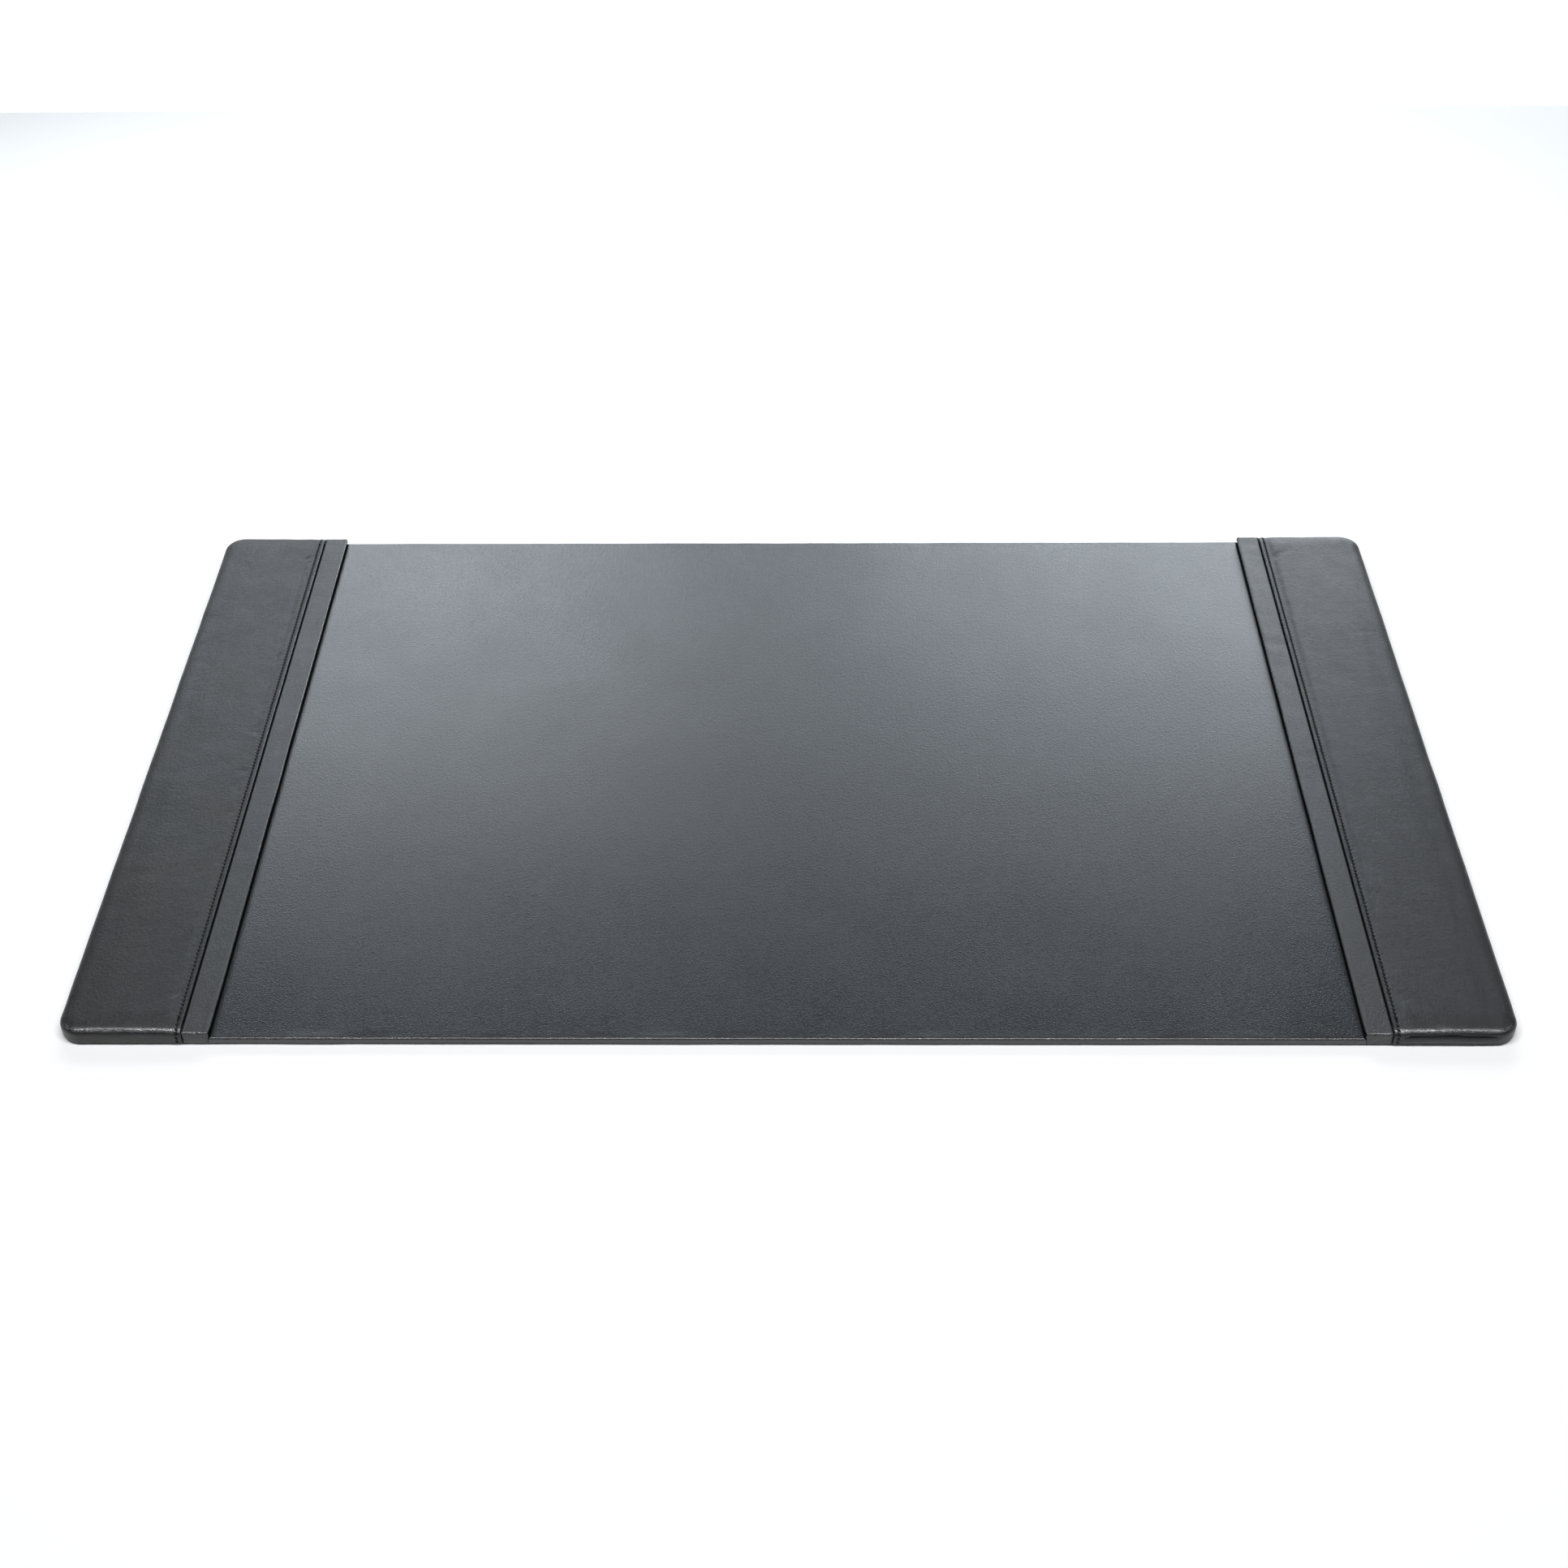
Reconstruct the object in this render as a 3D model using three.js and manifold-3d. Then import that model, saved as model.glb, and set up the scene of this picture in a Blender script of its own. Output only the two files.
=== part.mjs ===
// Desk mat: a covered writing board with a padded leather rail down each short side.
// Millimetres. +X runs along the long side, +Y away from the user and +Z up.
// The origin is on the desk, under the middle of the mat.

import * as THREE from 'three';
import { mergeVertices } from 'three/addons/utils/BufferGeometryUtils.js';
import Module from 'manifold-3d';

const wasm = await Module();
wasm.setup();

// Overall size
const MAT_LENGTH = 863.6;
const MAT_DEPTH = 508;
const CORNER_RADIUS = 14;

// Thickness of each layer
const FELT_THICKNESS = 1;
const TURN_IN_THICKNESS = 0.8;
const BOARD_THICKNESS = 2.4;
const SHEET_THICKNESS = 0.8;
const STRIP_LEATHER_THICKNESS = 0.9;
const STRIP_CARD_THICKNESS = 0.6;
const STRIP_LINING_THICKNESS = 0.5;
const RAIL_LEATHER_THICKNESS = 1;
const HEM_THICKNESS = 1.5;

// The gap under each strip that paper slides into
const POCKET_HEIGHT = 2.3;

// Widths, measured from the mat's outer end inwards for a rail
const RAIL_WIDTH = 74.8;
const STRIP_WIDTH = 16.5;
const HEM_WIDTH = 9;
const HEM_REBATE_WIDTH = 7;
const RISER_SETBACK = 1;
const STITCH_SETBACK = 3;

// Margins, measured from the mat's outline inwards
const FELT_MARGIN = 6;
const TURN_IN_WIDTH = 15;
const STRIP_TAIL_MARGIN = 5;

// The padded rail's edges
const CROWN_RISE = 0.5;
const ROLL_WIDTH = 12;
const ROLL_HEIGHT = 5.5;
const ROLL_FULLNESS = 3;
const BOTTOM_ROLL = 1.2;
const SHEET_EDGE_RADIUS = 1.2;
const STRIP_EDGE_RADIUS = 1.5;

// Sewing thread
const THREAD_DIAMETER = 0.6;
const THREAD_PROUD = 0.2;

// Clearances
const GLUE_LINE = 0.1;
const SKIN_CLEARANCE = 0.3;
const BUTT_CLEARANCE = 0.3;
const PAD_CLEARANCE = 0.5;
const THREAD_CLEARANCE = 0.15;

// Smoothness of the curves, and how far a cutting tool runs past what it cuts
const ROLL_STEPS = 8;
const EDGE_STEPS = 3;
const ARC_DIVISIONS = 3;
const MIN_CORNER_RADIUS = 0.5;
const OVERCUT = 5;

// Heights, from the desk up
const TURN_IN_BOTTOM = FELT_THICKNESS + GLUE_LINE;
const TURN_IN_TOP = TURN_IN_BOTTOM + TURN_IN_THICKNESS;
const BOARD_BOTTOM = TURN_IN_TOP + GLUE_LINE;
const BOARD_TOP = BOARD_BOTTOM + BOARD_THICKNESS;
const SHEET_BOTTOM = BOARD_TOP + GLUE_LINE;
const SHEET_TOP = SHEET_BOTTOM + SHEET_THICKNESS;
const STRIP_BOTTOM = SHEET_TOP + POCKET_HEIGHT;
const CARD_BOTTOM = STRIP_BOTTOM + STRIP_LINING_THICKNESS + GLUE_LINE;
const CARD_TOP = CARD_BOTTOM + STRIP_CARD_THICKNESS;
const STRIP_TOP = CARD_TOP + GLUE_LINE + STRIP_LEATHER_THICKNESS;
const RISER_TOP = STRIP_BOTTOM - GLUE_LINE;
const FOAM_BOTTOM = RISER_TOP + GLUE_LINE;
const HEM_BOTTOM = STRIP_TOP + GLUE_LINE;
const HEM_TOP = HEM_BOTTOM + HEM_THICKNESS;
const RAIL_TOP = HEM_TOP + CROWN_RISE;
const ROLL_START = RAIL_TOP - ROLL_HEIGHT;

// Places along X on the right-hand side
const END_X = MAT_LENGTH / 2;
const HEM_EDGE_X = END_X - RAIL_WIDTH;
const STRIP_EDGE_X = HEM_EDGE_X - STRIP_WIDTH;
const STITCH_X = HEM_EDGE_X + STITCH_SETBACK;
const RISER_INNER_X = HEM_EDGE_X + RISER_SETBACK;
const STRIP_TAIL_X = HEM_EDGE_X + HEM_WIDTH;
const FOAM_INNER_X = STRIP_TAIL_X + PAD_CLEARANCE;
const STRIP_NOSE_RADIUS = (STRIP_TOP - STRIP_BOTTOM) / 2;
const STRIP_FLAP_X = STRIP_EDGE_X + STRIP_NOSE_RADIUS;

// Places along Y, at the front and at the rear alike
const EDGE_Y = MAT_DEPTH / 2;
const BOARD_INSET = RAIL_LEATHER_THICKNESS + SKIN_CLEARANCE;
const RISER_INSET = BOARD_INSET + PAD_CLEARANCE;
const BOARD_EDGE_Y = EDGE_Y - BOARD_INSET;
const SHEET_EDGE_Y = BOARD_EDGE_Y + GLUE_LINE + SHEET_THICKNESS;
const STRIP_EDGE_Y = BOARD_EDGE_Y + GLUE_LINE + STRIP_LEATHER_THICKNESS;
const STRIP_TAIL_Y = EDGE_Y - STRIP_TAIL_MARGIN;

const finishes = {
  felt: { color: 0x1b1c1e, roughness: 0.98, metalness: 0 },
  card: { color: 0xb9ab93, roughness: 0.9, metalness: 0 },
  board: { color: 0x8d7355, roughness: 0.85, metalness: 0 },
  writingSheet: { color: 0x2b2d31, roughness: 0.55, metalness: 0 },
  foam: { color: 0xd8d3c4, roughness: 0.95, metalness: 0 },
  leather: { color: 0x1f2022, roughness: 0.42, metalness: 0 },
  thread: { color: 0x0c0c0d, roughness: 0.6, metalness: 0 },
};

function toSolid(geometry) {
  const bare = geometry.clone();
  bare.deleteAttribute('normal');
  bare.deleteAttribute('uv');
  const merged = mergeVertices(bare);
  const vertProperties = Float32Array.from(merged.getAttribute('position').array);
  const triVerts = Uint32Array.from(merged.index.array);
  return new wasm.Manifold(new wasm.Mesh({ numProp: 3, vertProperties, triVerts }));
}

function toGeometry(solid) {
  const mesh = solid.getMesh();
  const geometry = new THREE.BufferGeometry();
  geometry.setAttribute('position', new THREE.BufferAttribute(mesh.vertProperties, 3));
  geometry.setIndex(new THREE.BufferAttribute(mesh.triVerts, 1));
  geometry.computeVertexNormals();
  return geometry;
}

function named(name, geometry, finish) {
  const mesh = new THREE.Mesh(geometry, new THREE.MeshStandardMaterial(finishes[finish]));
  mesh.name = name;
  return mesh;
}

// A block between two heights, with its middle on Y = 0.
function block(x0, x1, halfDepth, z0, z1) {
  const geometry = new THREE.BoxGeometry(x1 - x0, 2 * halfDepth, z1 - z0);
  geometry.translate((x0 + x1) / 2, 0, (z0 + z1) / 2);
  return geometry;
}

// A plan outline raised between two heights.
function plate(shape, z0, z1) {
  const options = { depth: z1 - z0, bevelEnabled: false, curveSegments: ARC_DIVISIONS };
  const geometry = new THREE.ExtrudeGeometry(shape, options);
  geometry.translate(0, 0, z0);
  return geometry;
}

// The corner radius of an outline drawn `inset` inside the mat's.
function cornerRadius(inset) {
  return Math.max(CORNER_RADIUS - inset, MIN_CORNER_RADIUS);
}

// A rectangle with four round corners, drawn `inset` inside the mat's outline.
function matOutline(inset) {
  const x = END_X - inset;
  const y = EDGE_Y - inset;
  const r = cornerRadius(inset);
  const shape = new THREE.Shape();
  shape.moveTo(r - x, -y);
  shape.lineTo(x - r, -y);
  shape.absarc(x - r, r - y, r, -Math.PI / 2, 0);
  shape.lineTo(x, y - r);
  shape.absarc(x - r, y - r, r, 0, Math.PI / 2);
  shape.lineTo(r - x, y);
  shape.absarc(r - x, y - r, r, Math.PI / 2, Math.PI);
  shape.lineTo(-x, r - y);
  shape.absarc(r - x, r - y, r, Math.PI, 1.5 * Math.PI);
  return shape;
}

// The right-hand end of that outline, cut off square at innerX.
function railOutline(innerX, inset) {
  const x = END_X - inset;
  const y = EDGE_Y - inset;
  const r = cornerRadius(inset);
  const shape = new THREE.Shape();
  shape.moveTo(innerX, -y);
  shape.lineTo(x - r, -y);
  shape.absarc(x - r, r - y, r, -Math.PI / 2, 0);
  shape.lineTo(x, y - r);
  shape.absarc(x - r, y - r, r, 0, Math.PI / 2);
  shape.lineTo(innerX, y);
  return shape;
}

// A solid through the rail outlines of a profile, which lists [inset, height] from the bottom up.
function railLoft(innerX, profile) {
  const rings = profile.map(([inset]) => railOutline(innerX, inset).getPoints(ARC_DIVISIONS));
  const count = rings[0].length;
  const positions = rings.flatMap((ring, level) => ring.flatMap((p) => [p.x, p.y, profile[level][1]]));
  const indices = [];
  for (let level = 0; level + 1 < rings.length; level += 1) {
    for (let i = 0; i < count; i += 1) {
      const a = level * count + i;
      const b = level * count + ((i + 1) % count);
      indices.push(a, b, b + count);
      indices.push(a, b + count, a + count);
    }
  }
  const top = (rings.length - 1) * count;
  for (let i = 1; i + 1 < count; i += 1) {
    indices.push(0, i + 1, i);
    indices.push(top, top + i, top + i + 1);
  }
  const geometry = new THREE.BufferGeometry();
  geometry.setAttribute('position', new THREE.Float32BufferAttribute(positions, 3));
  geometry.setIndex(indices);
  return geometry;
}

// The rail's side and its full, rolled top edge, for a surface `depth` inside the outer one.
function rolledProfile(depth, floor) {
  const width = ROLL_WIDTH - depth;
  const height = ROLL_HEIGHT - depth;
  const power = 2 / ROLL_FULLNESS;
  const points = [[depth, floor]];
  for (let step = 0; step < ROLL_STEPS; step += 1) {
    const angle = (step / ROLL_STEPS) * (Math.PI / 2);
    const inset = depth + width * (1 - Math.cos(angle) ** power);
    points.push([inset, ROLL_START + height * Math.sin(angle) ** power]);
  }
  points.push([ROLL_WIDTH, ROLL_START + height]);
  return points;
}

// The same from the turned-in bottom edge up.
function skinProfile() {
  const bottom = [];
  for (let step = 0; step < EDGE_STEPS; step += 1) {
    const angle = (step / EDGE_STEPS) * (Math.PI / 2);
    bottom.push([BOTTOM_ROLL * (1 - Math.sin(angle)), TURN_IN_BOTTOM + BOTTOM_ROLL * (1 - Math.cos(angle))]);
  }
  return [...bottom, ...rolledProfile(0, TURN_IN_BOTTOM + BOTTOM_ROLL)];
}

// One end of a cover, in Y and Z: its top from innerY out, its rounded edge, its wall and its margin.
function endSection({ innerY, top, thickness, edgeY, edgeRadius }) {
  const wallY = BOARD_EDGE_Y + GLUE_LINE;
  const turnInY = EDGE_Y - TURN_IN_WIDTH;
  const chamfer = BOTTOM_ROLL / 2;
  const shape = new THREE.Shape();
  shape.moveTo(innerY, top - thickness);
  shape.lineTo(wallY, top - thickness);
  shape.lineTo(wallY, TURN_IN_TOP);
  shape.lineTo(turnInY, TURN_IN_TOP);
  shape.lineTo(turnInY, TURN_IN_BOTTOM);
  shape.lineTo(edgeY - chamfer, TURN_IN_BOTTOM);
  shape.lineTo(edgeY, TURN_IN_BOTTOM + chamfer);
  shape.lineTo(edgeY, top - edgeRadius);
  shape.absarc(edgeY - edgeRadius, top - edgeRadius, edgeRadius, 0, Math.PI / 2);
  shape.lineTo(innerY, top);
  return shape;
}

// A section drawn in Y and Z, run along X.
function alongX(shape, x0, x1) {
  const options = { depth: x1 - x0, bevelEnabled: false, curveSegments: EDGE_STEPS };
  const geometry = new THREE.ExtrudeGeometry(shape, options);
  geometry.rotateX(Math.PI / 2);
  geometry.rotateZ(Math.PI / 2);
  geometry.translate(x0, 0, 0);
  return geometry;
}

// A rear end's section, put at the front instead by half a turn.
function frontEnd(shape, x0, x1) {
  return alongX(shape, -x1, -x0).rotateZ(Math.PI);
}

function feltBacking() {
  return plate(matOutline(FELT_MARGIN), 0, FELT_THICKNESS);
}

function undersideInfillCard() {
  const margin = TURN_IN_WIDTH + BUTT_CLEARANCE;
  return block(margin - END_X, END_X - margin, EDGE_Y - margin, TURN_IN_BOTTOM, TURN_IN_TOP);
}

function baseBoard() {
  return plate(matOutline(BOARD_INSET), BOARD_BOTTOM, BOARD_TOP);
}

// The sheet runs on under each strip as far as the riser, but only its middle is wrapped over the edges.
function writingSurface() {
  const wrapX = STRIP_FLAP_X - BUTT_CLEARANCE;
  const tabX = RISER_INNER_X - BUTT_CLEARANCE;
  const tabY = SHEET_EDGE_Y - SHEET_EDGE_RADIUS - BUTT_CLEARANCE;
  const section = endSection({
    innerY: tabY - OVERCUT,
    top: SHEET_TOP,
    thickness: SHEET_THICKNESS,
    edgeY: SHEET_EDGE_Y,
    edgeRadius: SHEET_EDGE_RADIUS,
  });
  const front = toSolid(frontEnd(section, -wrapX, wrapX));
  const rear = toSolid(alongX(section, -wrapX, wrapX));
  const sheet = toSolid(block(-tabX, tabX, tabY, SHEET_BOTTOM, SHEET_TOP));
  return toGeometry(sheet.add(front).add(rear));
}

// A slot under the bobbin thread is cut along the riser's top.
function railRiser() {
  const board = toSolid(plate(railOutline(RISER_INNER_X, RISER_INSET), SHEET_BOTTOM, RISER_TOP));
  const halfWidth = THREAD_DIAMETER / 2 + THREAD_CLEARANCE;
  const depth = THREAD_DIAMETER + THREAD_CLEARANCE;
  const bottom = RISER_TOP - depth;
  const top = RISER_TOP + OVERCUT;
  const slot = block(STITCH_X - halfWidth, STITCH_X + halfWidth, EDGE_Y, bottom, top);
  return toGeometry(board.subtract(toSolid(slot)));
}

function railFoam() {
  const core = toSolid(railLoft(FOAM_INNER_X, rolledProfile(BOARD_INSET, BOARD_TOP)));
  const below = toSolid(block(0, END_X + OVERCUT, EDGE_Y + OVERCUT, 0, FOAM_BOTTOM));
  return toGeometry(core.subtract(below));
}

// The thread sinks into a groove that follows the panel's outer surface over the front and rear edges.
function stitchGroove() {
  const depth = THREAD_DIAMETER - THREAD_PROUD + THREAD_CLEARANCE;
  const halfWidth = THREAD_DIAMETER / 2 + THREAD_CLEARANCE;
  const slice = block(STITCH_X - halfWidth, STITCH_X + halfWidth, EDGE_Y + OVERCUT, 0, RAIL_TOP + OVERCUT);
  return toSolid(slice).subtract(toSolid(alongX(seamSection(depth), HEM_EDGE_X, STRIP_TAIL_X)));
}

// What lies inside the seam: the panel's end section, `depth` below its surface and its rebated hem.
function seamSection(depth) {
  const hemTop = HEM_TOP - depth;
  const rise = rolledProfile(depth, 0).filter(([, z]) => z < hemTop);
  const shape = new THREE.Shape();
  shape.moveTo(depth - EDGE_Y, -OVERCUT);
  for (const [inset, z] of rise) {
    shape.lineTo(inset - EDGE_Y, z);
  }
  const shoulder = hemShoulder(depth);
  shape.lineTo(shoulder - EDGE_Y, hemTop);
  shape.lineTo(EDGE_Y - shoulder, hemTop);
  for (const [inset, z] of rise.reverse()) {
    shape.lineTo(EDGE_Y - inset, z);
  }
  shape.lineTo(EDGE_Y - depth, -OVERCUT);
  return shape;
}

// How far from the front edge the rolled surface reaches the hem's height.
function hemShoulder(depth) {
  const share = (HEM_TOP - depth - ROLL_START) / (ROLL_HEIGHT - depth);
  return depth + (ROLL_WIDTH - depth) * (1 - (1 - share ** ROLL_FULLNESS) ** (1 / ROLL_FULLNESS));
}

function railLeather() {
  const outer = toSolid(railLoft(HEM_EDGE_X, skinProfile()));
  const inner = toSolid(railLoft(HEM_EDGE_X - OVERCUT, rolledProfile(RAIL_LEATHER_THICKNESS, TURN_IN_TOP)));
  const hem = toSolid(block(0, STRIP_TAIL_X, EDGE_Y, HEM_BOTTOM, RAIL_TOP + OVERCUT));
  const opening = plate(railOutline(HEM_EDGE_X - OVERCUT, TURN_IN_WIDTH), 0, TURN_IN_TOP + GLUE_LINE);
  const rebateX = HEM_EDGE_X + HEM_REBATE_WIDTH;
  const rebate = toSolid(block(0, rebateX, EDGE_Y, HEM_TOP, RAIL_TOP + OVERCUT));
  const shell = outer.subtract(inner.subtract(hem)).subtract(toSolid(opening));
  return toGeometry(shell.subtract(rebate).subtract(stitchGroove()));
}

// A band of thread along the groove, standing a little proud of the leather.
function seamThread() {
  const halfWidth = THREAD_DIAMETER / 2;
  const outside = alongX(seamSection(-THREAD_PROUD), STITCH_X - halfWidth, STITCH_X + halfWidth);
  const inside = alongX(seamSection(THREAD_DIAMETER - THREAD_PROUD), HEM_EDGE_X, STRIP_TAIL_X);
  const below = block(0, END_X, EDGE_Y + OVERCUT, -2 * OVERCUT, TURN_IN_BOTTOM + BOTTOM_ROLL);
  return toGeometry(toSolid(outside).subtract(toSolid(inside)).subtract(toSolid(below)));
}

function bobbinThread() {
  const halfWidth = THREAD_DIAMETER / 2;
  const bottom = RISER_TOP - THREAD_DIAMETER;
  return block(STITCH_X - halfWidth, STITCH_X + halfWidth, STRIP_TAIL_Y, bottom, RISER_TOP);
}

// The strip's section folds round its card at the free edge and comes back underneath.
function stripLeather() {
  const innerX = STRIP_EDGE_X + STRIP_LEATHER_THICKNESS;
  const middleZ = (STRIP_TOP + STRIP_BOTTOM) / 2;
  const shape = new THREE.Shape();
  shape.moveTo(STRIP_TAIL_X, STRIP_TOP);
  shape.lineTo(STRIP_FLAP_X, STRIP_TOP);
  shape.absarc(STRIP_FLAP_X, middleZ, STRIP_NOSE_RADIUS, Math.PI / 2, 1.5 * Math.PI);
  shape.lineTo(STRIP_TAIL_X, STRIP_BOTTOM);
  shape.lineTo(STRIP_TAIL_X, CARD_BOTTOM - GLUE_LINE);
  shape.lineTo(innerX, CARD_BOTTOM - GLUE_LINE);
  shape.lineTo(innerX, CARD_TOP + GLUE_LINE);
  shape.lineTo(STRIP_TAIL_X, CARD_TOP + GLUE_LINE);
  const options = { depth: 2 * STRIP_TAIL_Y, bevelEnabled: false, curveSegments: ARC_DIVISIONS };
  const geometry = new THREE.ExtrudeGeometry(shape, options);
  geometry.rotateX(Math.PI / 2);
  geometry.translate(0, STRIP_TAIL_Y, 0);
  return geometry;
}

// Where the strip's leather turns down over the mat's edge, at the front or at the rear.
function stripWrap(place) {
  const section = endSection({
    innerY: STRIP_TAIL_Y + BUTT_CLEARANCE,
    top: STRIP_TOP,
    thickness: STRIP_LEATHER_THICKNESS,
    edgeY: STRIP_EDGE_Y,
    edgeRadius: STRIP_EDGE_RADIUS,
  });
  return place(section, STRIP_FLAP_X, HEM_EDGE_X - BUTT_CLEARANCE);
}

function stripCard() {
  const x0 = STRIP_EDGE_X + STRIP_LEATHER_THICKNESS + GLUE_LINE;
  return block(x0, STRIP_TAIL_X, STRIP_TAIL_Y, CARD_BOTTOM, CARD_TOP);
}

// Everything on one short side, modelled on the right; the left one is the same, turned half round,
// which brings its front end to the rear.
function rail(side, turn) {
  const [ahead, behind] = turn === 0 ? ['front', 'rear'] : ['rear', 'front'];
  const group = new THREE.Group();
  group.rotation.z = turn;
  group.add(named(`${side}_rail_riser`, railRiser(), 'board'));
  group.add(named(`${side}_rail_foam`, railFoam(), 'foam'));
  group.add(named(`${side}_strip_card`, stripCard(), 'card'));
  group.add(named(`${side}_strip_leather`, stripLeather(), 'leather'));
  group.add(named(`${side}_strip_wrap_${ahead}`, stripWrap(frontEnd), 'leather'));
  group.add(named(`${side}_strip_wrap_${behind}`, stripWrap(alongX), 'leather'));
  group.add(named(`${side}_rail_leather`, railLeather(), 'leather'));
  group.add(named(`${side}_seam_thread`, seamThread(), 'thread'));
  group.add(named(`${side}_bobbin_thread`, bobbinThread(), 'thread'));
  return group;
}

const mat = new THREE.Group();
mat.add(named('felt_backing', feltBacking(), 'felt'));
mat.add(named('underside_infill_card', undersideInfillCard(), 'card'));
mat.add(named('base_board', baseBoard(), 'board'));
mat.add(named('writing_surface', writingSurface(), 'writingSheet'));
mat.add(rail('right', 0));
mat.add(rail('left', Math.PI));

export default mat;
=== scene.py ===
"""Desk mat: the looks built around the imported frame. Sizes here are millimetres until a mesh is made."""

import math

import bpy
import numpy as np
from mathutils import Matrix, Vector
from mathutils.bvhtree import BVHTree
from mathutils.geometry import barycentric_transform


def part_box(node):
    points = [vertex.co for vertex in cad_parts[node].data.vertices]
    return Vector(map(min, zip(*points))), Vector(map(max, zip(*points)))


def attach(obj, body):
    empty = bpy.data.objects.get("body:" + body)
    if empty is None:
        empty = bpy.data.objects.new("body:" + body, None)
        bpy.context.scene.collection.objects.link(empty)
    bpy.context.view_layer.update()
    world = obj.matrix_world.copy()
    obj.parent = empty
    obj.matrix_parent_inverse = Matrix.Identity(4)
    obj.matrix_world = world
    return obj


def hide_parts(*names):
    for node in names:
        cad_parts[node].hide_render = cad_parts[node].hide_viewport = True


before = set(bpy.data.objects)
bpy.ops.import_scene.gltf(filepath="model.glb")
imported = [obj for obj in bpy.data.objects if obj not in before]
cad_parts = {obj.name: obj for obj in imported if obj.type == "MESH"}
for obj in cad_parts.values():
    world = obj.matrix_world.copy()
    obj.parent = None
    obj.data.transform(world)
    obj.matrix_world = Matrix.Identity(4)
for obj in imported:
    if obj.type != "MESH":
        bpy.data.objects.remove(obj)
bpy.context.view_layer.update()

MM = 0.001


def span(node):
    """A CAD node's lowest and highest corners, in millimetres."""
    low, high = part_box(node)
    return np.array(low) / MM, np.array(high) / MM


RAIL_LOW, RAIL_HIGH = span("right_rail_leather")
STRIP_LOW, STRIP_HIGH = span("right_strip_leather")
WRAP_LOW, WRAP_HIGH = span("right_strip_wrap_rear")
SHEET_LOW, SHEET_HIGH = span("writing_surface")
FOAM_LOW, FOAM_HIGH = span("right_rail_foam")
FELT_LOW, FELT_HIGH = span("felt_backing")
THREAD_LOW, THREAD_HIGH = span("right_seam_thread")
BOBBIN_LOW, BOBBIN_HIGH = span("right_bobbin_thread")

# The shape of the edges, as in the CAD
CORNER = 14.0
ROLL_WIDTH = 12.0
ROLL_HEIGHT = 5.5
FULLNESS = 3.0
BOTTOM_ROLL = 1.2
HEM = 1.5
RECESS = 0.5
TURN_IN = 15.0

# The seam: its stitches' pitch, how far each end leans across it, and the thread's radius
STITCH_X = (THREAD_LOW[0] + THREAD_HIGH[0]) / 2
PITCH = 3.2
LEAN = 0.5
THREAD = 0.38
BOBBIN = 0.25

# Outer edges of the rails, and where their padding starts
END_X = RAIL_HIGH[0]
EDGE_Y = RAIL_HIGH[1]
TOP = RAIL_HIGH[2]
PAD_X = FOAM_LOW[0]

# Thinnest ply of folded leather, how far the foam lies inside the cover, and how far it may push it out
PLY = 0.5
UNDER_COVER = 1.3
SWELL_CAP = 0.55
CLOTH_FRAMES = 20


# ---------------------------------------------------------------- mesh helpers


def waves(seed, length, count=24, stretch=(1, 1, 1)):
    """A smooth random field of unit spread, with bumps about `length` mm across."""
    rng = np.random.default_rng(seed)
    way = rng.normal(size=(count, 3))
    way /= np.linalg.norm(way, axis=1)[:, None]
    long = length * rng.uniform(0.7, 1.6, count)
    k = way / np.array(stretch) * (2 * math.pi / long)[:, None]
    phase = rng.uniform(0, 2 * math.pi, count)
    return lambda p: math.sqrt(2 / count) * np.cos(p @ k.T + phase).sum(axis=1)


def smooth(x, a, b):
    """0 below a and 1 above b, with an even slope between; a may be above b."""
    t = np.clip((x - a) / (b - a), 0, 1)
    return t * t * (3 - 2 * t)


def steps(*stops):
    """Places from stop to stop: steps(0, 1, .5, 4, 1.5) goes from 0 to 1 by about .5, then to 4 by 1.5."""
    out = [np.array([stops[0]])]
    for (a, b), size in zip(zip(stops[0::2], stops[2::2]), stops[1::2]):
        n = max(1, round(abs(b - a) / size))
        out.append(np.linspace(a, b, n + 1)[1:])
    return np.concatenate(out)


def quads(index):
    """The faces of a grid of vertex numbers, facing up where rows run along +Y and columns along +X."""
    a, b, c, d = index[:-1, :-1], index[:-1, 1:], index[1:, 1:], index[1:, :-1]
    return np.stack([a, b, c, d], axis=-1).reshape(-1, 4)


def normals(verts, faces):
    """The unit normal at each vertex."""
    p = verts[faces]
    n = np.cross(p[:, 2] - p[:, 0], p[:, 3] - p[:, 1])
    out = np.zeros_like(verts)
    for i in range(4):
        np.add.at(out, faces[:, i], n)
    return out / np.maximum(np.linalg.norm(out, axis=1), 1e-12)[:, None]


def shell(verts, faces, thickness):
    """A sheet of some thickness below its outer surface, closed round its open edges."""
    count = len(verts)
    inner = verts - normals(verts, faces) * np.broadcast_to(thickness, count)[:, None]
    pairs = np.concatenate([faces[:, [i, (i + 1) % 4]] for i in range(4)])
    pairs = pairs[pairs[:, 0] != pairs[:, 1]]
    keys = set(map(tuple, pairs.tolist()))
    rim = [(b, a, a + count, b + count) for a, b in sorted(keys) if (b, a) not in keys]
    both = np.concatenate([faces, faces[:, ::-1] + count, np.array(rim, dtype=int).reshape(-1, 4)])
    return np.concatenate([verts, inner]), both


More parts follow.
